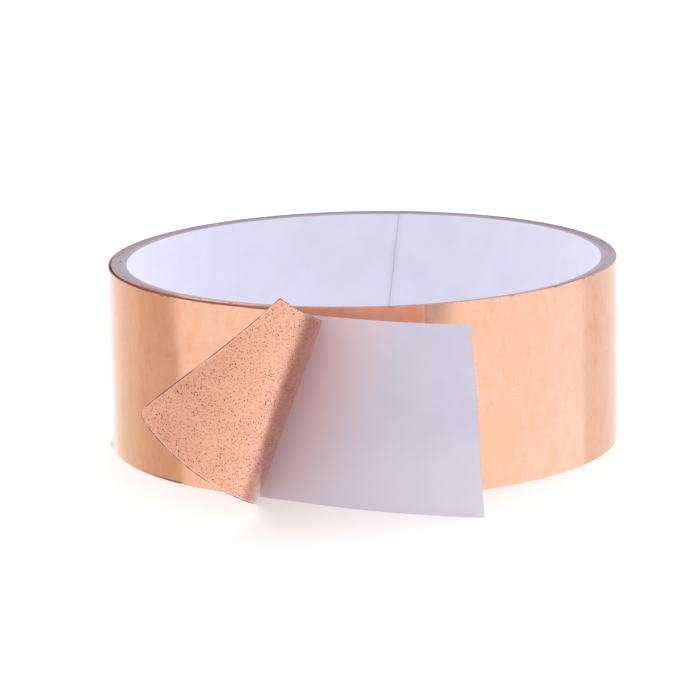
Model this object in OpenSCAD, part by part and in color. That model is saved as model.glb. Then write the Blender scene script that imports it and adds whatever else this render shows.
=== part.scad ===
// Copper foil tape on a thin paper core, with its outer end loose and part of the foil peeled back.
// Z runs along the core's axis. The origin is on that axis, at the lower edge of the tape.
// Every strip is wound with its release liner inward and its copper outward.

/* [Core] */
// Inner diameter of the core
core_bore_d = 77.7; // [70:0.1:90]
// Thickness of one ply of the core
core_ply_t = 0.25; // [0.2:0.05:0.5]
// Width of the butt seam of each ply
core_seam_w = 0.3; // [0.1:0.1:1]
// Lean of the seams from upright, in degrees
core_seam_lean = 8.6; // [0:0.2:15]
// Direction of the inner ply's seam, in degrees
core_seam_az = 83.8; // [60:0.2:100]

/* [Tape] */
// Width of the tape, and height of the roll
tape_w = 30; // [25:1:35]
// Thickness of the copper foil
foil_t = 0.05; // [0.04:0.01:0.07]
// Thickness of the adhesive
adhesive_t = 0.03; // [0.02:0.01:0.05]
// Thickness of the paper release liner
liner_t = 0.10; // [0.08:0.01:0.14]
// Number of turns wound tight on the core
turns = 8; // [4:1:14]

/* [Start of the tape] */
// Thickness of the double-sided tab that fixes the tape to the core
tab_t = 0.09; // [0.05:0.01:0.12]
// Length of that tab around the core
tab_len = 22; // [10:1:40]

/* [Loose outer wrap] */
// Direction in which the outer wrap comes off the tight turns, in degrees
wrap_az = 120; // [110:5:140]
// Gap under the outer wrap where it begins
wrap_gap = 0.1; // [0.1:0.05:0.2]
// How much larger its radius is than the turn below it
wrap_slack = 0.4; // [0.3:0.1:0.8]
// Direction of the point where the tape leaves the roll, in degrees
leave_az = 238.5; // [234:0.5:242]

/* [Tail] */
// Length of the straight run after the tape leaves the roll
tail_straight = 16; // [14:1:18]
// Radius of the tail's remaining curve
tail_bend_r = 75; // [60:5:120]
// Length of the liner from where it leaves the roll, at mid width
liner_len = 42.7; // [38:0.1:46]
// How much longer the liner's lower edge is than its upper edge
liner_skew = 1.9; // [0:0.1:4]
// Distance along the tail at which the bare end of the liner bends on its own
liner_bend_s = 14; // [13:1:15]
// Distance before the leaving point at which the whole tail swings
tail_hinge_s = 8; // [7:0.5:10]

/* [Peeled foil] */
// Radius of the curl of the peeled foil
curl_r = 13; // [11:0.5:15]
// Lean of the peel line from upright, in degrees
peel_lean = 23; // [15:1:26]
// Distance along the tail of the peel line, at mid width
peel_s = 2.8; // [1:0.2:4]
// Length of the foil from where the tape leaves the roll, at mid width
foil_len = 42.5; // [38:0.1:46]
// How much longer the foil's lower edge is than its upper edge
foil_skew = 3.8; // [0:0.1:5]
// Radius of the foil's lower corner
foil_corner_r = 1.5; // [0.5:0.1:3]

/* [Hidden] */
$fn = 180;

copper = [0.90, 0.58, 0.44];
sticky_copper = [0.80, 0.52, 0.42];
liner_white = [0.91, 0.90, 0.96];
ply_white = [0.90, 0.89, 0.97];
board_grey = [0.68, 0.64, 0.66];

tape_t = liner_t + adhesive_t + foil_t;
core_r = core_bore_d / 2;
core_wall = 4 * core_ply_t;
// Inner radius of the first turn, and the spiral's step for each half turn
first_r = core_r + core_wall + tab_t;
half_step = tape_t / 2;
last_half = 2 * turns - 1;
// Clearance on each side of a bend line between two bodies
bend_gap = 0.15;
// Layers of the tape, as distances out from the liner's inner face
liner_layer = [0, liner_t];
adhesive_layer = [liner_t, liner_t + adhesive_t];
foil_layer = [liner_t + adhesive_t, tape_t];

function unit(az) = [cos(az), sin(az)];
// An angle in degrees that an arc length covers at a radius
function arc_deg(len, r) = len / r * 180 / PI;

// Half turns alternate between two centres one half step apart, so each runs smoothly into the next.
function half_centre(k) = k % 2 == 0 ? [0, 0] : [-half_step, 0];
function half_r(k) = first_r + k * half_step;
function half_az(k) = k % 2 == 0 ? 180 : 0;

// The outer wrap is an arc that touches the last half turn's line at wrap_az.
wrap_r = half_r(last_half) + wrap_gap + wrap_slack;
wrap_centre = half_centre(last_half) - wrap_slack * unit(wrap_az);
// The tail starts at the wrap's end, along its tangent.
leave_p = wrap_centre + wrap_r * unit(leave_az);
tail_dir = leave_az + 90;
tail_hinge_az = leave_az - arc_deg(tail_hinge_s, wrap_r);
wrap_cut_deg = arc_deg(bend_gap, wrap_r);
bend_centre = leave_p + tail_straight * unit(tail_dir) - tail_bend_r * unit(leave_az);

// Plies and ring strips ------------------------------------------------------------------------

// A ring sector between two radii, standing on the base plane
module ring_sector(r1, r2, az1, az2) {
    rotate([0, 0, az1])
        rotate_extrude(angle = az2 - az1)
            translate([r1, 0])
                square([r2 - r1, tape_w]);
}

// One rolled ply with a leaning butt seam
module core_ply(index, seam_az) {
    r1 = core_r + index * core_ply_t;
    difference() {
        linear_extrude(tape_w)
            difference() {
                circle(r1 + core_ply_t);
                circle(r1);
            }
        rotate([0, 0, seam_az])
            translate([r1, 0, tape_w / 2])
                rotate([core_seam_lean, 0, 0])
                    cube([4 * core_ply_t, core_seam_w, 2 * tape_w], center = true);
    }
}

// One layer of all the tight turns: a continuous strip that ends at wrap_az
module wound_strip(layer) {
    for (k = [0 : last_half])
        translate(half_centre(k))
            ring_sector(half_r(k) + layer[0], half_r(k) + layer[1], half_az(k),
                k == last_half ? wrap_az - wrap_cut_deg : half_az(k) + 180);
}

// One layer of the loose wrap, between two directions seen from its own centre
module wrap_strip(layer, az1, az2) {
    translate(wrap_centre)
        ring_sector(wrap_r + layer[0], wrap_r + layer[1], az1, az2);
}

// Tail ---------------------------------------------------------------------------------------

// The straight run between two distances from the leaving point
module straight_strip(layer, s1, s2) {
    translate(leave_p)
        rotate([0, 0, tail_dir])
            translate([s1, -layer[1], 0])
                cube([s2 - s1, layer[1] - layer[0], tape_w]);
}

// The curved run, cut off by the scissors' line
module bent_strip(layer, len, skew) {
    end_az = leave_az + arc_deg(len - tail_straight, tail_bend_r);
    difference() {
        translate(bend_centre)
            ring_sector(tail_bend_r + layer[0], tail_bend_r + layer[1], leave_az, end_az + 3);
        translate(bend_centre)
            rotate([0, 0, end_az])
                translate([tail_bend_r, 0, tape_w / 2])
                    rotate([atan(skew / tape_w), 0, 0])
                        translate([-tape_w / 2, 0, -tape_w])
                            cube([tape_w, tape_w, 2 * tape_w]);
    }
}

// Foil or adhesive that is still stuck to the liner, from the tail's hinge to the peel line
module stuck_strip(layer) {
    difference() {
        union() {
            wrap_strip(layer, tail_hinge_az + wrap_cut_deg, leave_az);
            straight_strip(layer, 0, liner_bend_s);
        }
        translate(leave_p)
            rotate([0, 0, tail_dir])
                translate([peel_s, 0, tape_w / 2])
                    rotate([0, peel_lean, 0])
                        translate([0, -tape_w / 2, -2 * tape_w])
                            cube([tape_w, tape_w, 4 * tape_w]);
    }
}

// Peeled foil ----------------------------------------------------------------------------------

// The foil curls about lines parallel to the peel line. A place on the flat tape is (w, h): w is the
// distance from the peel line, square to it, and h is the height on the tape's width.
curl_dir = concat(sin(peel_lean) * unit(tail_dir), cos(peel_lean));
curl_across = concat(cos(peel_lean) * unit(tail_dir), -sin(peel_lean));
curl_out = concat(unit(leave_az), 0);
curl_base = concat(leave_p + peel_s * unit(tail_dir), tape_w / 2);
// The curl's crest lies a quarter turn from the peel line.
crest_w = curl_r * PI / 2;

// Distance along the peel line of the place (w, h)
function along(w, h) = ((h - tape_w / 2) + w * sin(peel_lean)) / cos(peel_lean);
// The point of the curled foil at (w, h), a little way out from the liner's outer face
function curled(w, h, off) =
    let (a = arc_deg(w, curl_r), r = curl_r - off)
    curl_base + along(w, h) * curl_dir + r * sin(a) * curl_across
        + (liner_t + curl_r - r * cos(a)) * curl_out;

// Length of the foil's cut end at a height, with the rounded lower corner
function corner_cut(h) = foil_corner_r - sqrt(pow(foil_corner_r, 2) - pow(foil_corner_r - h, 2));
function cut_s(h) =
    foil_len + foil_skew * (0.5 - h / tape_w) - (h < foil_corner_r ? corner_cut(h) : 0);
// The same end as a distance from the peel line
function cut_w(h) = (cut_s(h) - peel_s) * cos(peel_lean) - (h - tape_w / 2) * sin(peel_lean);

corner_steps = 6;
flap_heights = concat(
    [for (i = [0 : corner_steps]) foil_corner_r * (1 - cos(90 * i / corner_steps))],
    [for (i = [1 : 6]) foil_corner_r + (tape_w - foil_corner_r) * i / 6]
);
edge_heights = [0, tape_w / 2, tape_w];

// A closed thin sheet over a grid of places, rows[i][j] = [w, h], between two offsets
module curled_sheet(rows, off1, off2) {
    ni = len(rows);
    nj = len(rows[0]);
    count = ni * nj;
    points = concat(
        [for (row = rows) for (p = row) curled(p[0], p[1], off1)],
        [for (row = rows) for (p = row) curled(p[0], p[1], off2)]
    );
    function id(i, j, side) = side * count + i * nj + j;
    faces = concat(
        [for (i = [0 : ni - 2]) for (j = [0 : nj - 2]) for (t = [0, 1])
            t == 0 ? [id(i, j, 0), id(i + 1, j, 0), id(i + 1, j + 1, 0)]
                : [id(i, j, 0), id(i + 1, j + 1, 0), id(i, j + 1, 0)]],
        [for (i = [0 : ni - 2]) for (j = [0 : nj - 2]) for (t = [0, 1])
            t == 0 ? [id(i, j, 1), id(i + 1, j + 1, 1), id(i + 1, j, 1)]
                : [id(i, j, 1), id(i, j + 1, 1), id(i + 1, j + 1, 1)]],
        [for (i = [0 : ni - 2]) for (t = [0, 1])
            t == 0 ? [id(i, 0, 0), id(i, 0, 1), id(i + 1, 0, 1)]
                : [id(i, 0, 0), id(i + 1, 0, 1), id(i + 1, 0, 0)]],
        [for (i = [0 : ni - 2]) for (t = [0, 1])
            t == 0 ? [id(i, nj - 1, 0), id(i + 1, nj - 1, 0), id(i + 1, nj - 1, 1)]
                : [id(i, nj - 1, 0), id(i + 1, nj - 1, 1), id(i, nj - 1, 1)]],
        [for (j = [0 : nj - 2]) for (t = [0, 1])
            t == 0 ? [id(0, j, 0), id(0, j + 1, 0), id(0, j + 1, 1)]
                : [id(0, j, 0), id(0, j + 1, 1), id(0, j, 1)]],
        [for (j = [0 : nj - 2]) for (t = [0, 1])
            t == 0 ? [id(ni - 1, j, 0), id(ni - 1, j, 1), id(ni - 1, j + 1, 1)]
                : [id(ni - 1, j, 0), id(ni - 1, j + 1, 1), id(ni - 1, j + 1, 0)]]
    );
    polyhedron(points, faces);
}

// From the peel line to the crest
module curl_strip(layer) {
    steps = 16;
    last_w = crest_w - bend_gap;
    rows = [for (h = edge_heights) [for (j = [0 : steps]) [last_w * j / steps, h]]];
    curled_sheet(rows, layer[0] - liner_t, layer[1] - liner_t);
}

// From the crest to the cut end
module flap_strip(layer) {
    steps = 16;
    first_w = crest_w + bend_gap;
    rows = [for (h = flap_heights)
        [for (j = [0 : steps]) [first_w + (cut_w(h) - first_w) * j / steps, h]]];
    curled_sheet(rows, layer[0] - liner_t, layer[1] - liner_t);
}

// Sub-parts --------------------------------------------------------------------------------------

module core_inner_ply() color(ply_white) core_ply(0, core_seam_az);
module core_middle_ply_1() color(board_grey) core_ply(1, core_seam_az + 120);
module core_middle_ply_2() color(board_grey) core_ply(2, core_seam_az + 240);
module core_outer_ply() color(board_grey) core_ply(3, core_seam_az + 60);
module start_tab()
    color(liner_white)
        ring_sector(first_r - tab_t, first_r, 180, 180 + arc_deg(tab_len, first_r));

module liner_wound() color(liner_white) wound_strip(liner_layer);
module adhesive_wound() color(sticky_copper) wound_strip(adhesive_layer);
module foil_wound() color(copper) wound_strip(foil_layer);

module wrap_node(layer) wrap_strip(layer, wrap_az + wrap_cut_deg, tail_hinge_az - wrap_cut_deg);
module liner_wrap() color(liner_white) wrap_node(liner_layer);
module adhesive_wrap() color(sticky_copper) wrap_node(adhesive_layer);
module foil_wrap() color(copper) wrap_node(foil_layer);

module liner_tail()
    color(liner_white) {
        wrap_strip(liner_layer, tail_hinge_az + wrap_cut_deg, leave_az);
        straight_strip(liner_layer, 0, liner_bend_s - bend_gap);
    }
module adhesive_tail() color(sticky_copper) stuck_strip(adhesive_layer);
module foil_tail() color(copper) stuck_strip(foil_layer);
module liner_end()
    color(liner_white) {
        straight_strip(liner_layer, liner_bend_s + bend_gap, tail_straight);
        bent_strip(liner_layer, liner_len, liner_skew);
    }

module adhesive_curl() color(sticky_copper) curl_strip(adhesive_layer);
module foil_curl() color(copper) curl_strip(foil_layer);
module adhesive_flap() color(sticky_copper) flap_strip(adhesive_layer);
module foil_flap() color(copper) flap_strip(foil_layer);

core_inner_ply();
core_middle_ply_1();
core_middle_ply_2();
core_outer_ply();
start_tab();
liner_wound();
adhesive_wound();
foil_wound();
liner_wrap();
adhesive_wrap();
foil_wrap();
liner_tail();
adhesive_tail();
foil_tail();
liner_end();
adhesive_curl();
foil_curl();
adhesive_flap();
foil_flap();
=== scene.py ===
"""Copper foil tape roll: the looks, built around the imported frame.

Lengths are in millimetres until a mesh is made, and the shapes repeat part.scad's own formulas.
A place along the tape is s, its distance from where the tape leaves the roll: negative on the roll,
positive on the loose tail. A place across the tape is its height h.
"""
import math

import bpy
import numpy as np
from mathutils import Matrix, Vector


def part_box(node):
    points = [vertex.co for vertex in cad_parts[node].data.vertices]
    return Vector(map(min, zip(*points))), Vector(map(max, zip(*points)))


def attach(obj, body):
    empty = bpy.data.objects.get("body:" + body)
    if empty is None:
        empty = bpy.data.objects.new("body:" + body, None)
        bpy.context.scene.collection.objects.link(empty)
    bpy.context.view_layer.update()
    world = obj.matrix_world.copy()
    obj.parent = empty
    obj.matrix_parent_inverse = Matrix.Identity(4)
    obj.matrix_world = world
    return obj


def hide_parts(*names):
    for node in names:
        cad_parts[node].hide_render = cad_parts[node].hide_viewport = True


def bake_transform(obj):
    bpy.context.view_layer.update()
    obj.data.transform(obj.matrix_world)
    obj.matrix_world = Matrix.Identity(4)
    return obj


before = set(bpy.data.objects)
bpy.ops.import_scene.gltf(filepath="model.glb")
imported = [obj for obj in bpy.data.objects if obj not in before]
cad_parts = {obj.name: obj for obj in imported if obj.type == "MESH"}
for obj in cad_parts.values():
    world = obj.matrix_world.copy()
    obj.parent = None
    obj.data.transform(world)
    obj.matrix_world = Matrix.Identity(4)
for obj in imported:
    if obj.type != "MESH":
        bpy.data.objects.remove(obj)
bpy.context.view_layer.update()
MM = 0.001

# Driving dimensions: part.scad's own, apart from the place and lean of the core's seams --------------

TAPE_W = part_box("foil_wound")[1].z / MM
BORE_R = 38.85
PLIES, PLY_T = 4, 0.25
SEAM_LEAN = 6.9
SEAM_AZ = 83.2
FOIL_T, ADHESIVE_T, LINER_T, TAB_T = 0.05, 0.03, 0.10, 0.09
TAB_LEN = 22.0
TURNS = 8
WRAP_AZ = 120.0
WRAP_GAP = 0.1
WRAP_SLACK = 0.4
LEAVE_AZ = 238.5
TAIL_STRAIGHT = 16.0
TAIL_BEND_R = 75.0
LINER_LEN, LINER_SKEW = 42.7, 1.9
LINER_BEND_S = 14.0
TAIL_HINGE_S = 8.0
CURL_R = 13.0
PEEL_LEAN = 23.0
PEEL_S = 2.8
FOIL_LEN, FOIL_SKEW = 42.5, 3.8
FOIL_CORNER_R = 1.5

TAPE_T = LINER_T + ADHESIVE_T + FOIL_T
FIRST_R = BORE_R + PLIES * PLY_T + TAB_T
HALF_STEP = TAPE_T / 2
LAST_HALF = 2 * TURNS - 1
LEAN = math.radians(PEEL_LEAN)
LINER = (0.0, LINER_T)
ADHESIVE = (LINER_T, LINER_T + ADHESIVE_T)
FOIL = (LINER_T + ADHESIVE_T, TAPE_T)

# Half the run kept on each side of a hinge place at the tail: the tail's meshes begin this far past the
# hinge
BLEND_HALF = 4.0
# Half the run over which the loose wrap lifts off the turn below it
RAMP = 7.0
# Spacing and number of a mesh's places along and across the tape, where its face shows
FINE_STEP, FINE_ROWS = 0.5, 31
# Spacing along the wound turns, which show only their edges
WOUND_STEP = 1.05


def unit(az):
    """The outward direction at an azimuth, in plan."""
    return np.array([math.cos(math.radians(az)), math.sin(math.radians(az))])


def half_centre(k):
    """Centre of a wound half turn: they alternate between two, half a step apart."""
    return np.array([0.0 if k % 2 == 0 else -HALF_STEP, 0.0])


def half_r(k):
    """Inner radius of a wound half turn, counted from the core."""
    return FIRST_R + k * HALF_STEP


def smooth(t):
    """0 up to 0, 1 from 1 on, and a smooth rise between."""
    t = np.clip(t, 0, 1)
    return t * t * (3 - 2 * t)


WRAP_R = half_r(LAST_HALF) + WRAP_GAP + WRAP_SLACK
WRAP_CENTRE = half_centre(LAST_HALF) - WRAP_SLACK * unit(WRAP_AZ)
LEAVE_P = WRAP_CENTRE + WRAP_R * unit(LEAVE_AZ)
TAIL_U = unit(LEAVE_AZ + 90)
OUT_U = unit(LEAVE_AZ)
BEND_CENTRE = LEAVE_P + TAIL_STRAIGHT * TAIL_U - TAIL_BEND_R * OUT_U

# The tape's path -----------------------------------------------------------------------------------

WRAP_S = -math.radians(LEAVE_AZ - WRAP_AZ) * WRAP_R


def wound_arcs():
    """The wound half turns from the outermost inwards.

    Each has its centre, radius, last azimuth, the place s there and the place s at its start.
    """
    arcs, s = [], WRAP_S
    for k in range(LAST_HALF, -1, -1):
        first = 180.0 if k % 2 == 0 else 0.0
        last = WRAP_AZ if k == LAST_HALF else first + 180
        start = s - math.radians(last - first) * half_r(k)
        arcs.append((half_centre(k), half_r(k), last, s, start))
        s = start
    return arcs


ARCS = wound_arcs()
START_S = ARCS[-1][4]


def tape_path(s):
    """Points and outward normals of the liner's inner face at the places s, in plan."""
    s = np.asarray(s, float)
    p, n = np.zeros((len(s), 2)), np.zeros((len(s), 2))

    def arc(mask, centre, radius, az):
        n[mask] = np.stack([np.cos(az), np.sin(az)], -1)
        p[mask] = centre + radius * n[mask]

    for centre, radius, last, s_end, s_start in ARCS:
        mask = (s < s_end) & (s >= s_start - 1e-9)
        arc(mask, centre, radius, math.radians(last) + (s[mask] - s_end) / radius)
    mask = (s >= WRAP_S) & (s < 0)
    arc(mask, WRAP_CENTRE, WRAP_R, math.radians(LEAVE_AZ) + s[mask] / WRAP_R)
    mask = (s >= 0) & (s < TAIL_STRAIGHT)
    p[mask] = LEAVE_P + s[mask, None] * TAIL_U
    n[mask] = OUT_U
    mask = s >= TAIL_STRAIGHT
    arc(mask, BEND_CENTRE, TAIL_BEND_R,
        math.radians(LEAVE_AZ) + (s[mask] - TAIL_STRAIGHT) / TAIL_BEND_R)
    # the loose wrap lifts off the turn below it over a short ramp instead of a step
    t = (s - WRAP_S + RAMP) / (2 * RAMP)
    lift = np.where(s < WRAP_S, smooth(t), smooth(t) - 1) * WRAP_GAP
    return p + n * lift[:, None], n


def s_at(turns_back, az):
    """The place s on the wound tape at an azimuth, so many whole turns below the outermost one."""
    k = LAST_HALF - 2 * turns_back - (1 if az >= 180 else 0)
    centre, radius, last, s_end, _ = ARCS[LAST_HALF - k]
    return s_end - math.radians(last - az) * radius


class Waves:
    """A smooth seeded undulation over the tape: a sum of sine waves in s and h, of about 1 in size.

    The waves are between the shortest and the longest length, and run in every direction.
    """

    def __init__(self, seed, count, shortest, longest):
        rng = np.random.RandomState(seed)
        length = np.exp(rng.uniform(math.log(shortest), math.log(longest), count))
        turn = rng.uniform(0, 2 * math.pi, count)
        self.ks = np.cos(turn) * 2 * math.pi / length
        self.kh = np.sin(turn) * 2 * math.pi / length
        self.phase = rng.uniform(0, 2 * math.pi, count)
        self.size = length / length.sum() * 2

    def __call__(self, s, h=0.0):
        s, h = np.broadcast_arrays(np.asarray(s, float), np.asarray(h, float))
        total = np.zeros(s.shape)
        for ks, kh, phase, size in zip(self.ks, self.kh, self.phase, self.size):
            total += size * np.sin(ks * s + kh * h + phase)
        return total


TURN_SHIFT = Waves(11, 9, 60, 500)
ROLL_RELIEF = Waves(23, 14, 4, 22)
LINER_RELIEF = Waves(31, 10, 10, 45)
FLAP_RELIEF = Waves(47, 16, 3, 16)

# The wound turns' meshes end here, and the loose wrap's begin
JOIN_S = s_at(0, 60)
# The last turns stand high between these azimuths, by so much from the outermost one down
CLIMB_AZ, FALL_AZ = 196, 350
CLIMBS = (0.30, 0.20, 0.10)


def level_off(s):
    """1 on the wound turns, falling to 0 over the last 60 mm before the loose wrap's meshes."""
    return smooth((JOIN_S - s) / 60)


def turn_shift(s):
    """How far the tape's upper edge stands above its own width: turns never lie quite level.

    The last few turns climb at the front, so that the outermost stands above the loose wrap.
    """
    climb = 0.0
    for back, height in enumerate(CLIMBS):
        rise = smooth((s - s_at(back, CLIMB_AZ)) / 12)
        fall = smooth((s_at(back, FALL_AZ) - s) / 16)
        climb = climb + height * rise * fall
    return 0.05 * (1 + np.clip(TURN_SHIFT(s), -1, 1)) * level_off(s) + climb


# Meshes --------------------------------------------------------------------------------------------


def grid_faces(ni, nj, base, flip):
    """The four-sided faces of a grid of ni by nj points, whose first point has the number base."""
    i, j = np.meshgrid(np.arange(ni - 1), np.arange(nj - 1), indexing="ij")
    a = (base + i * nj + j).ravel()
    quad = np.stack([a, a + nj, a + nj + 1, a + 1], -1)
    return quad[:, ::-1] if flip else quad


def sheet(name, outer, inner, s, h, materials, rim=None):
    """A closed thin sheet between two grids of points. Grid rows run along the tape, columns up it.

    materials are those of the outer face, the inner face and the cut edges. rim is how many
    millimetres each place is from a free edge. If it isn't given, the slit edges count as free.
    """
    ni, nj, _ = outer.shape
    count = ni * nj
    co = np.concatenate([outer.reshape(-1, 3), inner.reshape(-1, 3)]) * MM
    faces = [grid_faces(ni, nj, 0, False), grid_faces(ni, nj, count, True)]
    i, j = np.arange(ni - 1), np.arange(nj - 1)
    top, low = i * nj + nj - 1, i * nj
    edges = [
        np.stack([top, top + nj, top + nj + count, top + count], -1),
        np.stack([low + count, low + nj + count, low + nj, low], -1),
        np.stack([j + count, j, j + 1, j + 1 + count], -1),
    ]
    end = (ni - 1) * nj + j
    edges.append(np.stack([end, end + count, end + count + 1, end + 1], -1))
    kinds = np.concatenate([
        np.zeros(len(faces[0]), int), np.ones(len(faces[1]), int),
        np.full(sum(len(e) for e in edges), 2),
    ])
    faces = np.concatenate(faces + edges)
    mesh = bpy.data.meshes.new(name)
    mesh.vertices.add(len(co))
    mesh.vertices.foreach_set("co", co.astype(np.float32).ravel())
    mesh.loops.add(faces.size)
    mesh.loops.foreach_set("vertex_index", faces.astype(np.int32).ravel())
    mesh.polygons.add(len(faces))
    mesh.polygons.foreach_set("loop_start", np.arange(len(faces), dtype=np.int32) * 4)
    slots = []
    for m in materials:
        if m not in slots:
            slots.append(m)
            mesh.materials.append(m)
    index = np.array([slots.index(m) for m in materials], np.int32)
    mesh.polygons.foreach_set("material_index", index[kinds])
    mesh.polygons.foreach_set("use_smooth", np.ones(len(faces), bool))
    flat = np.stack([np.broadcast_to(s, (ni, nj)).ravel(), np.broadcast_to(h, (ni, nj)).ravel()], -1)
    flat = np.concatenate([flat, flat]) * MM
    mesh.uv_layers.new(name="tape").data.foreach_set("uv", flat[faces.ravel()].astype(np.float32).ravel())
    if rim is None:
        rim = np.minimum(h, TAPE_W - h)
    rim = np.broadcast_to(rim, (ni, nj)).ravel() * MM
    mesh.attributes.new("rim", "FLOAT", "POINT").data.foreach_set(
        "value", np.concatenate([rim, rim]).astype(np.float32))
    mesh.update(calc_edges=True)
    mesh.validate()
    mesh.set_sharp_from_angle(angle=math.radians(35))
    piece = bpy.data.objects.new(name, mesh)
    bpy.context.scene.collection.objects.link(piece)
    return piece


def strip_grids(s, h, layer, relief=None, shift=None, bend=None):
    """The outer and inner grids of a layer of the tape that follows the path and stands upright."""
    p, n = tape_path(s)
    extra = np.zeros((len(s), len(h)))
    for push in (relief, bend):
        if push is not None:
            extra = extra + push(s[:, None], h[None, :])
    rise = np.zeros(len(s)) if shift is None else shift
    z = h[None, :] + rise[:, None] * h[None, :] / TAPE_W
    grids = []
    for off in (layer[1], layer[0]):
        xy = p[:, None, :] + n[:, None, :] * (off + extra)[..., None]
        grids.append(np.concatenate([xy, z[..., None]], -1))
    return grids


def strip(name, s, h, layer, materials, rim=None, **shape):
    """A layer of the tape along the path, as a closed sheet."""
    outer, inner = strip_grids(s, h, layer, **shape)
    return sheet(name, outer, inner, s[:, None], h[None, :], materials, rim)


def stations(s1, s2, step):
    """Even places along the tape, about a step apart."""
    return np.linspace(s1, s2, max(2, int(round((s2 - s1) / step)) + 1))


def heights(count):
    """Even places across the tape, from its lower edge to its upper."""
    return np.linspace(0, TAPE_W, count)


# Materials -----------------------------------------------------------------------------------------


class Nodes:
    """A node tree, with short ways to add nodes and join them."""

    def __init__(self, tree):
        self.tree = tree

    def add(self, kind, **settings):
        made = self.tree.nodes.new(kind)
        for key, value in settings.items():
            setattr(made, key, value)
        return made

    def join(self, source, target):
        self.tree.links.new(source, target)

    def feed(self, socket, value):
        """Join a socket to a node's output, or set it to a number or to a colour of three numbers."""
        if isinstance(value, bpy.types.NodeSocket):
            self.join(value, socket)
        elif isinstance(value, tuple):
            socket.default_value = (*value, 1)
        else:
            socket.default_value = value

    def math(self, operation, *values):
        made = self.add("ShaderNodeMath", operation=operation)
        for socket, value in zip(made.inputs, values):
            self.feed(socket, value)
        return made.outputs["Value"]

    def ramp(self, value, low, high, to_low=0.0, to_high=1.0):
        """A number that goes smoothly from to_low to to_high as the value goes from low to high."""
        made = self.add("ShaderNodeMapRange", interpolation_type="SMOOTHSTEP")
        for key, number in (("From Min", low), ("From Max", high), ("To Min", to_low), ("To Max", to_high)):
            made.inputs[key].default_value = number
        self.join(value, made.inputs["Value"])
        return made.outputs["Result"]

    def blend(self, factor, a, b):
        """Colour a where the factor is 0 and colour b where it is 1."""
        made = self.add("ShaderNodeMix", data_type="RGBA")
        for index, value in ((0, factor), (6, a), (7, b)):
            self.feed(made.inputs[index], value)
        return made.outputs[2]


class Look(Nodes):
    """A material's nodes. Places on it are metres of tape, X along the tape and Y across it."""

    def __init__(self, name):
        self.material = bpy.data.materials.new(name)
        self.material.use_nodes = True
        super().__init__(self.material.node_tree)
        self.shader = next(n for n in self.tree.nodes if n.type == "BSDF_PRINCIPLED")
        self.uv = self.add("ShaderNodeUVMap", uv_map="tape").outputs["UV"]

    def split(self):
        """The place along the tape, and the place across it."""
        made = self.add("ShaderNodeSeparateXYZ")
        self.join(self.uv, made.inputs["Vector"])
        return made.outputs["X"], made.outputs["Y"]

    def rim(self):
        """How far a place is from a free edge, in metres."""
        return self.add("ShaderNodeAttribute", attribute_name="rim").outputs["Fac"]

    def past_peel(self):
        """How far past the slanting peel line a place is, in metres."""
        along, across = self.split()
        u = self.math("MULTIPLY", self.math("SUBTRACT", along, PEEL_S * MM), math.cos(LEAN))
        v = self.math("MULTIPLY", self.math("SUBTRACT", across, TAPE_W / 2 * MM), math.sin(LEAN))
        return self.math("SUBTRACT", u, v)

    def place(self, scale=(1, 1, 1), offset=(0, 0, 0), turn=0.0):
        """Texture coordinates: the place on the tape scaled, shifted and turned."""
        made = self.add("ShaderNodeMapping")
        made.inputs["Scale"].default_value = scale
        made.inputs["Location"].default_value = offset
        made.inputs["Rotation"].default_value = (0, 0, turn)
        self.join(self.uv, made.inputs["Vector"])
        return made.outputs["Vector"]

    def noise(self, where, scale=1.0, detail=3.0, rough=0.55, distortion=0.0):
        made = self.add("ShaderNodeTexNoise")
        made.inputs["Scale"].default_value = scale
        made.inputs["Detail"].default_value = detail
        made.inputs["Roughness"].default_value = rough
        made.inputs["Distortion"].default_value = distortion
        self.join(where, made.inputs["Vector"])
        return made.outputs["Fac"]

    def bump(self, height, distance, strength, under=None):
        made = self.add("ShaderNodeBump")
        made.inputs["Strength"].default_value = strength
        made.inputs["Distance"].default_value = distance
        self.join(height, made.inputs["Height"])
        if under is not None:
            self.join(under, made.inputs["Normal"])
        return made.outputs["Normal"]

    def set(self, **sockets):
        """Set or join the shader's sockets, each named with _ for a space."""
        for key, value in sockets.items():
            self.feed(self.shader.inputs[key.replace("_", " ")], value)


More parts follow.
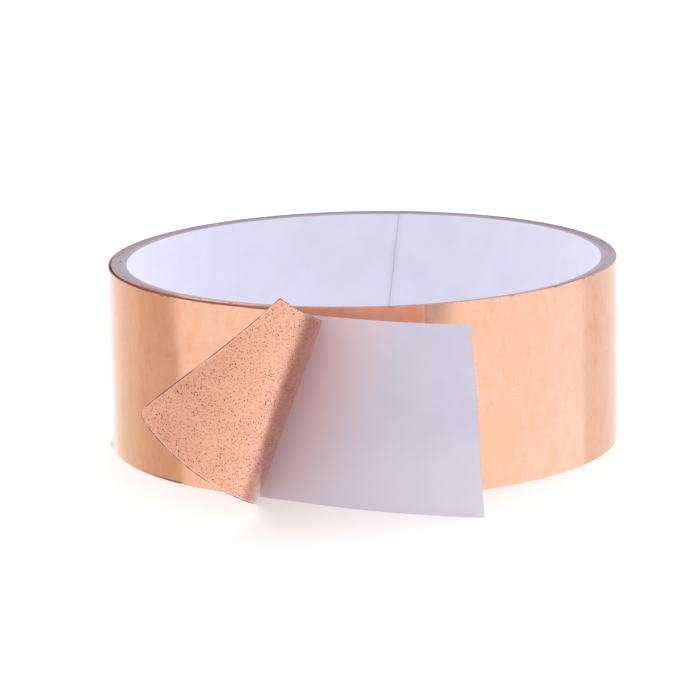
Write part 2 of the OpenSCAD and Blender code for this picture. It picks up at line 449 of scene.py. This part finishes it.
def copper_look():
    """Rolled copper foil: fine rolling lines along the tape, tarnish, rub marks, and a soiled slit edge."""
    look = Look("copper_outer")
    tint = (0.95, 0.552, 0.398)
    smudge = look.noise(look.place((60, 90, 1)), detail=4, rough=0.6, distortion=0.4)
    patch = look.noise(look.place((480, 260, 1), (3, 1, 0)), detail=7, rough=0.72, distortion=0.3)
    lines = look.noise(look.place((35, 5200, 1), (1, 7, 0)), detail=3, rough=0.6)
    upright = look.noise(look.place((2600, 320, 1), (2, 9, 0)), detail=3, rough=0.6)
    level = look.noise(look.place((260, 2300, 1), (8, 4, 0)), detail=3, rough=0.6)
    crowd = look.noise(look.place((75, 75, 1), (5, 5, 0)), detail=2, rough=0.5)
    fleck = look.noise(look.place((1000, 700, 1), (6, 3, 0)), detail=4, rough=0.7)
    nicks = look.noise(look.place((190, 1, 1), (4, 0, 0)), detail=5, rough=0.7)
    along, across = look.split()

    def shade(*factors):
        return tuple(min(1.0, c * f) for c, f in zip(tint, factors))

    def span(value, low, high, low_soft, high_soft):
        """1 between two places in millimetres, and 0 beyond them, with ends of their own softness."""
        rise = look.ramp(value, (low - low_soft) * MM, (low + low_soft) * MM)
        fall = look.ramp(value, (high - high_soft) * MM, (high + high_soft) * MM, 1, 0)
        return look.math("MULTIPLY", rise, fall)

    def area(run, height):
        return look.math("MULTIPLY", span(along, *run), span(across, *height))

    colour = look.blend(look.ramp(smudge, 0.36, 0.68), tint, shade(0.985, 0.92, 0.86))
    colour = look.blend(look.ramp(patch, 0.49, 0.66, 0, 0.95), colour, shade(0.97, 0.84, 0.72))
    colour = look.blend(look.ramp(patch, 0.46, 0.30, 0, 0.8), colour, shade(1.02, 1.07, 1.13))
    colour = look.blend(look.ramp(fleck, 0.50, 0.68, 0, 0.7), colour, shade(0.98, 0.88, 0.79))
    # handled most on the roll's right front: rubbed crosswise above, warmed by a fingertip below
    rubbed = area((s_at(0, 290), s_at(0, 313), 1.5, 3), (11, 31, 4, 0.5))
    where = look.math("MAXIMUM", look.ramp(crowd, 0.40, 0.62, 0.1, 0.9), rubbed)
    marks = look.math("MAXIMUM", look.ramp(upright, 0.50, 0.64), look.ramp(level, 0.52, 0.66))
    colour = look.blend(look.math("MULTIPLY", marks, where), colour, shade(1.01, 0.89, 0.80))
    warmed = area((s_at(0, 294.5), s_at(0, 304.5), 2, 1), (4, 11.5, 1.5, 1.5))
    colour = look.blend(look.math("MULTIPLY", warmed, 0.8), colour, shade(1.0, 0.92, 0.83))
    # painted reflection: a dark patch below the upper edge, just past where the liner stands in front of
    # the roll, where the copper would mirror the liner
    painted_dark_reflection = area((s_at(0, 282.7), s_at(0, 288), 0.2, 2.5), (25.5, 31, 3, 0.5))
    painted_dark_reflection = look.math("MULTIPLY", painted_dark_reflection, look.ramp(patch, 0.35, 0.6, 1.0, 0.8))
    colour = look.blend(painted_dark_reflection, colour, (0.47, 0.26, 0.185))
    # a dirty stretch of the loose wrap's lower edge
    stain = area((-15.5, -9.9, 8, 0.3), (-1, 0.3, 0.2, 0.14))
    colour = look.blend(look.math("MULTIPLY", stain, 0.85), colour, (0.20, 0.085, 0.045))
    edge = look.ramp(look.rim(), 0.08 * MM, 0.24 * MM, 1, 0)
    soil = look.math("MULTIPLY", edge, look.ramp(nicks, 0.52, 0.62, 0.0, 0.75))
    colour = look.blend(soil, colour, (0.22, 0.10, 0.06))
    worn = look.ramp(smudge, 0.3, 0.75, 0.14, 0.21)
    rough = look.math("ADD", worn, look.ramp(lines, 0.3, 0.7, -0.02, 0.03))
    normal = look.bump(lines, 0.003 * MM, 0.5)
    normal = look.bump(patch, 0.010 * MM, 0.3, normal)
    tangent = look.add("ShaderNodeTangent", direction_type="UV_MAP", uv_map="tape").outputs["Tangent"]
    look.set(Base_Color=colour, Metallic=1.0, Roughness=rough, Normal=normal, Tangent=tangent,
             Anisotropic=0.8, Anisotropic_Rotation=0.25)
    return look.material


def adhesive_look():
    """The sticky side of peeled foil: satin copper, pitted with small dark specks, grimy at its edges."""
    look = Look("sticky_copper")
    mottle = look.noise(look.place(), 260, 4, 0.6)
    grain = look.noise(look.place(), 3000, 3, 0.65)
    nicks = look.noise(look.place((240, 240, 1), (4, 0, 0)), detail=5, rough=0.7)
    crowd = look.ramp(look.noise(look.place(offset=(0.7, 0.2, 0)), 420, 3, 0.6), 0.36, 0.66, 0.5, 1.4)

    def specks(scale, shift, stretch, size, share, soft):
        """Scattered dark marks: the share of cells that hold one, and how much of the cell it takes."""
        cells = look.add("ShaderNodeTexVoronoi")
        cells.inputs["Scale"].default_value = scale
        look.join(look.place((1, stretch, 1), shift, 0.5), cells.inputs["Vector"])
        near = look.ramp(cells.outputs["Distance"], size, size + soft, 1, 0)
        pick = look.add("ShaderNodeSeparateColor")
        look.join(cells.outputs["Color"], pick.inputs["Color"])
        lot = look.math("DIVIDE", pick.outputs["Red"], crowd)
        return look.math("MULTIPLY", near, look.ramp(lot, share, share + 0.05, 1, 0))

    large = specks(2000, (0.31, 0.17, 0), 1.4, 0.20, 0.26, 0.08)
    small = specks(3500, (0.11, 0.57, 0), 1.8, 0.28, 0.40, 0.10)
    dots = look.math("MAXIMUM", look.math("MULTIPLY", large, 0.97), look.math("MULTIPLY", small, 0.85))
    colour = look.blend(look.ramp(mottle, 0.3, 0.7), (0.83, 0.41, 0.265), (0.89, 0.46, 0.30))
    colour = look.blend(look.ramp(grain, 0.44, 0.68, 0, 0.55), colour, (0.64, 0.30, 0.205))
    # painted reflection: the sticky side is darkened from the peel line to the curl's crest, where it
    # mirrors the liner beside it
    painted_crest_reflection = look.ramp(look.past_peel(), 21.5 * MM, 23.5 * MM, 0.6, 0)
    colour = look.blend(painted_crest_reflection, colour, (0.46, 0.16, 0.105))
    colour = look.blend(dots, colour, (0.12, 0.042, 0.026))
    rim = look.rim()
    # painted highlight: a light line just inside the free edges, where the raised burr catches the light
    colour = look.blend(look.ramp(rim, 0.20 * MM, 0.34 * MM, 0.55, 0), colour, (0.98, 0.66, 0.52))
    edge = look.ramp(rim, 0.12 * MM, 0.21 * MM, 1, 0)
    grime = look.math("MULTIPLY", edge, look.ramp(nicks, 0.40, 0.56, 0.2, 0.9))
    colour = look.blend(grime, colour, (0.20, 0.08, 0.05))
    pits = look.math("SUBTRACT", look.math("MULTIPLY", grain, 0.6), look.math("MULTIPLY", dots, 0.8))
    look.set(Base_Color=colour, Metallic=0.92, Normal=look.bump(pits, 0.04 * MM, 0.6),
             Roughness=look.ramp(mottle, 0.3, 0.7, 0.22, 0.30), Specular_IOR_Level=0.2)
    return look.material


def paper_look(name, colour, fibre, gloss, coat=0.0, joint_and_shade=0.0, painted_bounce=None):
    """Smooth coated paper: faint fibres and clouding, and a satin face.

    The joint setting is how much greyer it is at a glued joint: glue showing, and painted shade of the
    seam's groove. The warm setting is painted bounce light: the paper's colour beside the copper flap, and
    paper that has one is also painted lighter near the table, as if the table lit it.
    """
    look = Look(name)
    cloud = look.noise(look.place(), 160, 4, 0.6)
    fibres = look.noise(look.place((900, 2600, 1), (4, 2, 0), 0.35), 1, 4, 0.7, 0.8)
    tooth = look.noise(look.place(), 5200, 2, 0.6)
    shade = tuple(c * k for c, k in zip(colour, (0.965, 0.955, 0.965)))
    base = look.blend(look.ramp(cloud, 0.3, 0.72), colour, shade)
    base = look.blend(look.ramp(fibres, 0.52, 0.78, 0, fibre), base, tuple(c * 0.9 for c in colour))
    if painted_bounce:
        # painted bounce light: warmer beside the copper flap, near the peel line
        base = look.blend(look.ramp(look.past_peel(), 11 * MM, 24 * MM, 1, 0), base, painted_bounce)
        # painted light: lighter low down, towards the table
        _, across = look.split()
        base = look.blend(look.ramp(across, 0, 17 * MM, 0.65, 0), base, (0.86, 0.82, 0.93))
    # greyer at the glued joint: glue showing, and painted shade of the seam's groove
    if joint_and_shade:
        base = look.blend(look.ramp(look.rim(), 0, 1.0 * MM, joint_and_shade, 0), base, (0.42, 0.39, 0.46))
    normal = look.bump(fibres, 0.010 * MM, 0.35)
    normal = look.bump(tooth, 0.006 * MM, 0.4, normal)
    look.set(Base_Color=base, Roughness=look.ramp(cloud, 0.3, 0.7, gloss, gloss + 0.08), Normal=normal,
             Specular_IOR_Level=0.35, Coat_Weight=coat, Coat_Roughness=0.35)
    return look.material


def edge_look(name, colour, dark, metallic=0.0, rough=0.7):
    """A slit edge: streaked along the tape by the knife, dusty and uneven."""
    look = Look(name)
    streak = look.noise(look.place((90, 4000, 1), (5, 3, 0)), 1, 3, 0.6)
    dust = look.noise(look.place((1400, 1400, 1)), 1, 3, 0.7)
    base = look.blend(look.ramp(streak, 0.3, 0.7), colour, dark)
    base = look.blend(look.ramp(dust, 0.55, 0.8, 0, 0.5), base, tuple(min(1, c * 1.25) for c in colour))
    look.set(Base_Color=base, Metallic=metallic, Roughness=rough, Normal=look.bump(dust, 0.020 * MM, 0.4))
    return look.material


COPPER = copper_look()
STICKY = adhesive_look()
LINER_FACE = paper_look("liner_release_side", (0.68, 0.665, 0.81), 0.10, 0.42, 0.1,
                        painted_bounce=(0.84, 0.70, 0.76))
# the liner's back is painted darker and pinker than the paper is: painted shade and painted bounce light
# from the copper it faces
LINER_BACK_PAINTED_SHADE = paper_look("liner_back_painted_shade", (0.68, 0.55, 0.56), 0.18, 0.6)
CORE_FACE = paper_look("core_facing_paper", (0.83, 0.835, 0.97), 0.12, 0.5, 0.05, joint_and_shade=0.17)
CORE_UNDER = paper_look("core_ply_paper", (0.62, 0.59, 0.70), 0.3, 0.7)
BOARD = paper_look("core_board", (0.40, 0.36, 0.38), 0.5, 0.85)
LINER_EDGE = edge_look("liner_slit_edge", (0.47, 0.40, 0.50), (0.34, 0.285, 0.37))
COPPER_EDGE = edge_look("copper_slit_edge", (0.40, 0.30, 0.33), (0.25, 0.165, 0.18), 0.4, 0.5)
STICKY_EDGE = edge_look("adhesive_slit_edge", (0.37, 0.31, 0.37), (0.28, 0.23, 0.28))
BOARD_EDGE = edge_look("core_slit_edge", (0.40, 0.345, 0.42), (0.30, 0.255, 0.32))
CORE_EDGE = edge_look("core_facing_edge", (0.42, 0.365, 0.44), (0.33, 0.285, 0.35))
CUT_RIM = edge_look("foil_cut_rim", (0.36, 0.16, 0.11), (0.20, 0.08, 0.055), 0.7, 0.45)

FOIL_LOOK = (COPPER, STICKY, COPPER_EDGE)
ADHESIVE_LOOK = (STICKY, STICKY, STICKY_EDGE)
LINER_LOOK = (LINER_FACE, LINER_BACK_PAINTED_SHADE, LINER_EDGE)

# Core ----------------------------------------------------------------------------------------------

# Half the gap that a ply's ends leave at its seam, and how deep the lining's ends are pressed in
SEAM_HALF_GAP, SEAM_DIP = 0.02, 0.02
# Each ply's upper edge waves by this much, and sits as far below the tape's
PLY_WAVE = 0.03


def swell_to_tape(az, outer_r):
    """How far the outer ply stands out to meet the first turn, except over the start tab."""
    # the azimuth counted from just past the tape's start
    full = 180.7 + (az - 180.7) % 360
    turn_r = np.hypot(*tape_path(START_S + np.radians(full - 180) * FIRST_R)[0].T)
    past_tab = (full - 180) / math.degrees(TAB_LEN / FIRST_R)
    return (turn_r - outer_r - 0.004) * smooth((past_tab - 1.0) / 0.05)


def core_ply(name, node, index, seam_az, materials):
    """One rolled ply: a nearly closed ring whose two ends meet at a leaning butt seam."""
    r1 = BORE_R + index * PLY_T
    r2 = r1 + PLY_T
    gap = math.degrees(SEAM_HALF_GAP / r1)
    az = np.linspace(seam_az + gap, seam_az + 360 - gap, 541)
    h = heights(13)
    lean = np.degrees((h - TAPE_W / 2) * math.tan(math.radians(SEAM_LEAN)) / r1)
    angle = np.radians(az[:, None] - lean[None, :])
    s = np.radians(az) * r1
    from_end = np.minimum(s - s[0], s[-1] - s)
    inner_r, outer_r = np.full(len(az), r1), np.full(len(az), r2)
    if index == 0:
        inner_r = inner_r + SEAM_DIP * np.exp(-(from_end / 0.6) ** 2)
    if index == PLIES - 1:
        outer_r = outer_r + swell_to_tape(az, r2)
    wave = np.sin(np.radians(az) * 3 + index)[:, None] * (h / TAPE_W)[None, :]
    z = np.maximum(h[None, :] - PLY_WAVE + PLY_WAVE * wave, 0)
    outer, inner = [np.stack([r[:, None] * np.cos(angle), r[:, None] * np.sin(angle), z], -1)
                    for r in (outer_r, inner_r)]
    piece = sheet(name, outer, inner, s[:, None], h[None, :], materials, rim=from_end[:, None])
    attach(piece, "roll")
    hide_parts(node)


core_ply("core_lining", "core_inner_ply", 0, SEAM_AZ, (BOARD, CORE_FACE, CORE_EDGE))
for index, (node, turn) in enumerate(
        (("core_middle_ply_1", 120), ("core_middle_ply_2", 240), ("core_outer_ply", 60)), 1):
    core_ply(f"core_board_{index}", node, index, SEAM_AZ + turn, (BOARD, CORE_UNDER, BOARD_EDGE))


def start_tab():
    """The double-sided tab that fixes the first turn to the core."""
    az = np.radians(np.linspace(180, 180 + math.degrees(TAB_LEN / FIRST_R), 40))[:, None]
    h = heights(3)[None, :]
    outer, inner = [np.stack(np.broadcast_arrays(r * np.cos(az), r * np.sin(az), h), -1)
                    for r in (FIRST_R, FIRST_R - TAB_T)]
    piece = sheet("start_tab_tape", outer, inner, az * FIRST_R, h, (LINER_BACK_PAINTED_SHADE, LINER_BACK_PAINTED_SHADE, LINER_EDGE))
    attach(piece, "roll")
    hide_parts("start_tab")


start_tab()

# Wound turns ---------------------------------------------------------------------------------------

# Where the foil's outer face starts to show, where the loose wrap's two meshes meet, and where the
# tail's meshes begin
EXPOSED_S = s_at(1, WRAP_AZ)
MID_S = -math.radians(LEAVE_AZ - 160) * WRAP_R
TAIL_S = BLEND_HALF - TAIL_HINGE_S


def foil_relief(s, h):
    """Faint unevenness of the foil where it lies on the roll."""
    return 0.004 * ROLL_RELIEF(s, h) * smooth((TAIL_S - s) / 4)


def edge_shift(layer):
    """Slit edges stand a hair above or below each other: the adhesive's is the lowest."""
    low = {LINER: 0.0, ADHESIVE: -0.02, FOIL: 0.012}[layer]
    return lambda s: turn_shift(s) + low * level_off(s)


def wound(name, node, layer, materials):
    """One layer of the wound turns: a band one face high, since only its edges show."""
    s = stations(START_S, EXPOSED_S if layer == FOIL else JOIN_S, WOUND_STEP)
    piece = strip(name, s, heights(2), layer, materials, shift=edge_shift(layer)(s))
    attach(piece, "roll")
    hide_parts(node)


wound("liner_turns", "liner_wound", LINER, LINER_LOOK)
wound("adhesive_turns", "adhesive_wound", ADHESIVE, ADHESIVE_LOOK)
wound("foil_turns", "foil_wound", FOIL, FOIL_LOOK)


def top_turn():
    """The outermost turn of foil, whose face shows, so it is finer and has relief."""
    s = stations(EXPOSED_S, JOIN_S, FINE_STEP)
    h = heights(FINE_ROWS)
    piece = strip("foil_top_turn", s, h, FOIL, FOIL_LOOK, rim=(TAPE_W - h)[None, :], relief=foil_relief,
                  shift=edge_shift(FOIL)(s))
    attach(piece, "roll")
    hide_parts("foil_wound")


top_turn()

# Loose wrap ----------------------------------------------------------------------------------------


def path_point(s):
    """A point in the middle of the tape's width and thickness, in metres."""
    p, n = tape_path([s])
    return Vector((*(p[0] + TAPE_T / 2 * n[0]), TAPE_W / 2)) * MM


def wrap_bend(s, h):
    """The loose wrap isn't quite a cylinder: it twists at azimuth 222 near its top.

    At azimuth 183 its lower edge is nicked outward.
    """
    az = LEAVE_AZ + np.degrees(s / WRAP_R)
    twist_s = (az - 222) * math.pi / 180 * WRAP_R
    twist = -0.034 * twist_s * np.exp(-(twist_s / 7) ** 2) * smooth((h - 14) / 16) ** 1.5
    twist = twist * smooth((TAIL_S - s) / 4)
    nick = 0.55 * np.exp(-((az - 183) / 3.5) ** 2) * np.exp(-(h / 0.8) ** 2)
    return twist + nick


def wrap_pieces(kind, layer, materials):
    """One layer of the loose wrap, in two meshes split at azimuth 160: the back one from the wound turns'
    end, the left one on to the tail.
    """
    h = heights(FINE_ROWS)
    relief = foil_relief if layer == FOIL else None
    s = stations(JOIN_S, MID_S, FINE_STEP)
    back = strip(f"{kind}_wrap_back", s, h, layer, materials, relief=relief)
    path_point(WRAP_S - RAMP)
    path_point(WRAP_S + RAMP)
    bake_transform(back)
    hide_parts(f"{kind}_wrap", f"{kind}_wound")
    s = stations(MID_S, TAIL_S, FINE_STEP)
    # three more rows near the lower edge, for the nick
    h = np.insert(h, 1, (0.25, 0.5, 0.75))
    left = strip(f"{kind}_wrap_left", s, h, layer, materials, relief=relief, bend=wrap_bend)
    path_point(-TAIL_HINGE_S - BLEND_HALF)
    path_point(-TAIL_HINGE_S + BLEND_HALF)
    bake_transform(left)
    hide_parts(f"{kind}_wrap", f"{kind}_tail")


wrap_pieces("liner", LINER, LINER_LOOK)
wrap_pieces("adhesive", ADHESIVE, ADHESIVE_LOOK)
wrap_pieces("foil", FOIL, FOIL_LOOK)

# Bare liner on the tail ----------------------------------------------------------------------------


def liner_end_s(h):
    """Where the scissors cut the liner: a slanting, slightly wavy line with a rounded upper corner."""
    line = LINER_LEN + LINER_SKEW * (0.5 - h / TAPE_W)
    wave = 0.30 * np.sin(math.pi * h / TAPE_W) + 0.10 * np.sin(2 * math.pi * (h / TAPE_W - 0.28) * 1.4)
    # the line is hollowed a little around a third of the way up
    wave = wave - 0.38 * np.exp(-((h - 10.5) / 8) ** 2)
    corner_r = 0.4
    inside = np.clip(corner_r - (TAPE_W - h), 0, corner_r)
    return line + wave - (corner_r - np.sqrt(corner_r ** 2 - inside ** 2))


def tail_liner():
    """The liner from the tail's hinge to its cut end. It is bare past the peel line."""
    # the rows crowd towards the upper edge, for the rounded corner
    corner = TAPE_W - 1 + np.sin(np.linspace(0.1, math.pi / 2, 9))
    h = np.concatenate([np.linspace(0, TAPE_W - 1, 50), corner])
    t = np.linspace(0, 1, 121)
    s = TAIL_S + t[:, None] * (liner_end_s(h) - TAIL_S)[None, :]
    hh = np.broadcast_to(h[None, :], s.shape)
    p, n = tape_path(s.ravel())
    p, n = p.reshape(*s.shape, 2), n.reshape(*s.shape, 2)
    extra = 0.10 * LINER_RELIEF(s, hh) * smooth((s - 4) / 20)
    outer, inner = [np.concatenate([p + n * (off + extra)[..., None], hh[..., None]], -1)
                    for off in (LINER_T, 0.0)]
    piece = sheet("liner_tail_sheet", outer, inner, s, h[None, :], LINER_LOOK)
    path_point(LINER_BEND_S - BLEND_HALF)
    path_point(LINER_BEND_S + BLEND_HALF)
    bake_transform(piece)
    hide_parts("liner_tail", "liner_end")


tail_liner()

# Peeled foil ---------------------------------------------------------------------------------------

CURL_DIR = np.array([*(math.sin(LEAN) * TAIL_U), math.cos(LEAN)])
CURL_ACROSS = np.array([*(math.cos(LEAN) * TAIL_U), -math.sin(LEAN)])
CURL_OUT = np.array([*OUT_U, 0.0])
CURL_BASE = np.array([*(LEAVE_P + PEEL_S * TAIL_U), TAPE_W / 2])


def cut_s(h):
    """Length of the foil at a height, with its rounded lower corner."""
    inside = np.clip(FOIL_CORNER_R - h, 0, FOIL_CORNER_R)
    corner = FOIL_CORNER_R - np.sqrt(FOIL_CORNER_R ** 2 - inside ** 2)
    return FOIL_LEN + FOIL_SKEW * (0.5 - h / TAPE_W) - corner


def peel_w(s, h):
    """Distance of a place on the flat tape from the peel line."""
    return (s - PEEL_S) * math.cos(LEAN) - (h - TAPE_W / 2) * math.sin(LEAN)


def peeled(s, h, off):
    """Points of the foil: on the liner before the peel line, curled outward after it."""
    w = peel_w(s, h)
    p, n = tape_path(s.ravel())
    p, n = p.reshape(*s.shape, 2), n.reshape(*s.shape, 2)
    stuck = np.concatenate([p + n * (LINER_T + off)[..., None], h[..., None]], -1)
    a = w / CURL_R
    along = ((h - TAPE_W / 2) + w * math.sin(LEAN)) / math.cos(LEAN)
    r = CURL_R - off
    curl = (CURL_BASE + along[..., None] * CURL_DIR + (r * np.sin(a))[..., None] * CURL_ACROSS
            + (LINER_T + CURL_R - r * np.cos(a))[..., None] * CURL_OUT)
    # low on the tape the peel line lies on the roll's curve, a little behind the curl's own plane
    peel_s = PEEL_S + math.tan(LEAN) * (h - TAPE_W / 2)
    behind = np.where(peel_s < 0, peel_s ** 2 / (2 * WRAP_R), 0.0)
    curl -= (behind * np.exp(-np.clip(w, 0, None) / 5))[..., None] * CURL_OUT
    return np.where((w > 0)[..., None], curl, stuck)


def tail_foil(kind, off1, off2, materials):
    """The tail's foil, or the adhesive on it: flat up to the peel line, then curled back to the cut end."""
    corner = FOIL_CORNER_R * (1 - np.cos(np.linspace(0, math.pi / 2, 12)))
    h = np.concatenate([corner, np.linspace(FOIL_CORNER_R, TAPE_W, 84)[1:]])
    t = np.linspace(0, 1, 150)
    s = TAIL_S + t[:, None] * (cut_s(h) - TAIL_S)[None, :]
    hh = np.broadcast_to(h[None, :], s.shape)
    w = peel_w(s, hh)
    relief = 0.05 * FLAP_RELIEF(s, hh) * smooth((w - 1) / 8)
    to_edge = np.minimum(np.minimum(hh, TAPE_W - hh), cut_s(hh) - s)
    burr = 0.07 * np.exp(-(to_edge / 0.22) ** 2) * smooth((w - 1) / 4)
    outer, inner = [peeled(s, hh, off + relief - burr) for off in (off2, off1)]
    piece = sheet(f"{kind}_peeled", outer, inner, s, hh, materials, rim=to_edge)
    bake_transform(piece)
    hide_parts(f"{kind}_tail", f"{kind}_curl", f"{kind}_flap")


tail_foil("adhesive", 0.0, ADHESIVE_T, (STICKY, STICKY, CUT_RIM))
tail_foil("foil", ADHESIVE_T, ADHESIVE_T + FOIL_T, (COPPER, STICKY, CUT_RIM))

# Stage ---------------------------------------------------------------------------------------------


def floor():
    """A large white floor, in metres, a hair below the tape so that the two don't flicker."""
    mesh = bpy.data.meshes.new("floor")
    half, level = 3.0, -0.02 * MM
    mesh.from_pydata([(x * half, y * half, level) for x, y in ((-1, -1), (1, -1), (1, 1), (-1, 1))], [],
                     [(0, 1, 2, 3)])
    made = bpy.data.objects.new("floor", mesh)
    bpy.context.scene.collection.objects.link(made)
    material = bpy.data.materials.new("floor_white")
    material.use_nodes = True
    shader = material.node_tree.nodes["Principled BSDF"]
    shader.inputs["Base Color"].default_value = (0.74, 0.69, 0.685, 1)
    shader.inputs["Roughness"].default_value = 0.8
    shader.inputs["Specular IOR Level"].default_value = 0.2
    # a light table: the floor itself glows a little, so contact shadows stay faint
    shader.inputs["Emission Color"].default_value = (1, 0.955, 0.95, 1)
    shader.inputs["Emission Strength"].default_value = 0.48
    mesh.materials.append(material)
    # polished copper sees the studio's own lower half instead
    made.visible_glossy = False


def surroundings():
    """A white studio with a tan flat at the back left and a grey one at the back right.

    Below and around the roll it is drawn by azimuth, and overhead from front to back.
    """
    # azimuth in degrees, and how bright the studio is there in red, green and blue
    levels = (
        (-180, 1.05, 1.00, 0.95), (-170, 1.05, 1.07, 1.06), (-150, 1.06, 1.08, 1.08),
        (-60, 1.06, 1.09, 1.12), (-20, 1.06, 1.12, 1.16), (0, 1.06, 1.17, 1.26),
        (25.5, 1.06, 1.17, 1.27), (28.5, 0.89, 0.91, 0.91), (38, 0.88, 0.87, 0.86),
        (46, 0.90, 0.91, 0.90), (56, 0.94, 0.96, 0.97), (68, 1.00, 1.02, 1.05),
        (85, 1.06, 1.16, 1.22), (106, 1.05, 1.16, 1.22), (119, 0.99, 1.01, 1.00),
        (128, 0.89, 0.86, 0.79), (142, 0.84, 0.78, 0.69), (151, 0.73, 0.64, 0.54),
        (165, 0.71, 0.62, 0.53), (177.2, 0.69, 0.59, 0.50), (179.4, 1.04, 0.99, 0.91),
    )
    world = bpy.data.worlds.new("studio")
    bpy.context.scene.world = world
    world.use_nodes = True
    nodes = Nodes(world.node_tree)

    def scaled(colour, factor):
        made = nodes.add("ShaderNodeVectorMath", operation="SCALE")
        nodes.join(colour, made.inputs[0])
        nodes.join(factor, made.inputs["Scale"])
        return made.outputs["Vector"]

    direction = nodes.add("ShaderNodeSeparateXYZ")
    nodes.join(nodes.add("ShaderNodeTexCoord").outputs["Generated"], direction.inputs["Vector"])
    x, y, z = (direction.outputs[k] for k in "XYZ")
    whole_turns = nodes.math("MULTIPLY", nodes.math("ARCTAN2", y, x), 0.5 / math.pi)
    ramp = nodes.add("ShaderNodeValToRGB")
    nodes.join(nodes.math("ADD", whole_turns, 0.5), ramp.inputs["Fac"])
    stops = ramp.color_ramp.elements
    while len(stops) < len(levels) + 1:
        stops.new(0.5)
    closed = levels + ((180, *levels[0][1:]),)
    for stop, (azimuth, *_) in zip(stops, closed):
        stop.position = azimuth / 360 + 0.5
    for stop, (_, *colour) in zip(stops, closed):
        stop.color = (*colour, 1)
    # overhead it is even: dimmer on the viewer's side, brighter behind the roll and to its right
    front, back = (0.52, 0.52, 0.52), (1.58, 1.58, 1.58)
    sky = nodes.blend(nodes.ramp(y, -0.6, 0.5), front, back)
    sky = scaled(sky, nodes.ramp(x, 0.0, 0.8, 1.0, 1.25))
    # steeply below, where only the flap looks, it brightens towards the right
    steep = nodes.ramp(z, -0.34, -0.25, 1, 0)
    gain = nodes.math("MULTIPLY", nodes.math("MULTIPLY_ADD", x, 0.23, 0.01), steep)
    level = scaled(ramp.outputs["Color"], nodes.math("ADD", 1.0, gain))
    around = nodes.blend(nodes.ramp(z, 0.04, 0.35), level, sky)
    # the backdrop itself is seen as plain white
    seen = nodes.add("ShaderNodeLightPath").outputs["Is Camera Ray"]
    shown = nodes.blend(seen, around, (1.1, 1.1, 1.1))
    nodes.join(shown, world.node_tree.nodes["Background"].inputs["Color"])


def camera():
    """A long lens in front of the roll, looking down a little. Distances are millimetres."""
    elevation, roll = math.radians(12.545), math.radians(-1.136)
    distance, target = 658.247, Vector((-2.539, 0, 14.501))
    back = Vector((0, -math.cos(elevation), math.sin(elevation)))
    right = Vector((1, 0, 0))
    up = back.cross(right)
    x_axis = right * math.cos(roll) + up * math.sin(roll)
    y_axis = up * math.cos(roll) - right * math.sin(roll)
    data = bpy.data.cameras.new("camera")
    data.sensor_width = 36
    data.lens = 205.446
    data.clip_start, data.clip_end = 0.01, 50
    made = bpy.data.objects.new("camera", data)
    bpy.context.scene.collection.objects.link(made)
    axes = Matrix((x_axis, y_axis, back)).transposed().to_4x4()
    made.matrix_world = Matrix.Translation((target + back * distance) * MM) @ axes
    bpy.context.scene.camera = made


floor()
surroundings()
camera()
bpy.context.scene.view_settings.view_transform = "Standard"
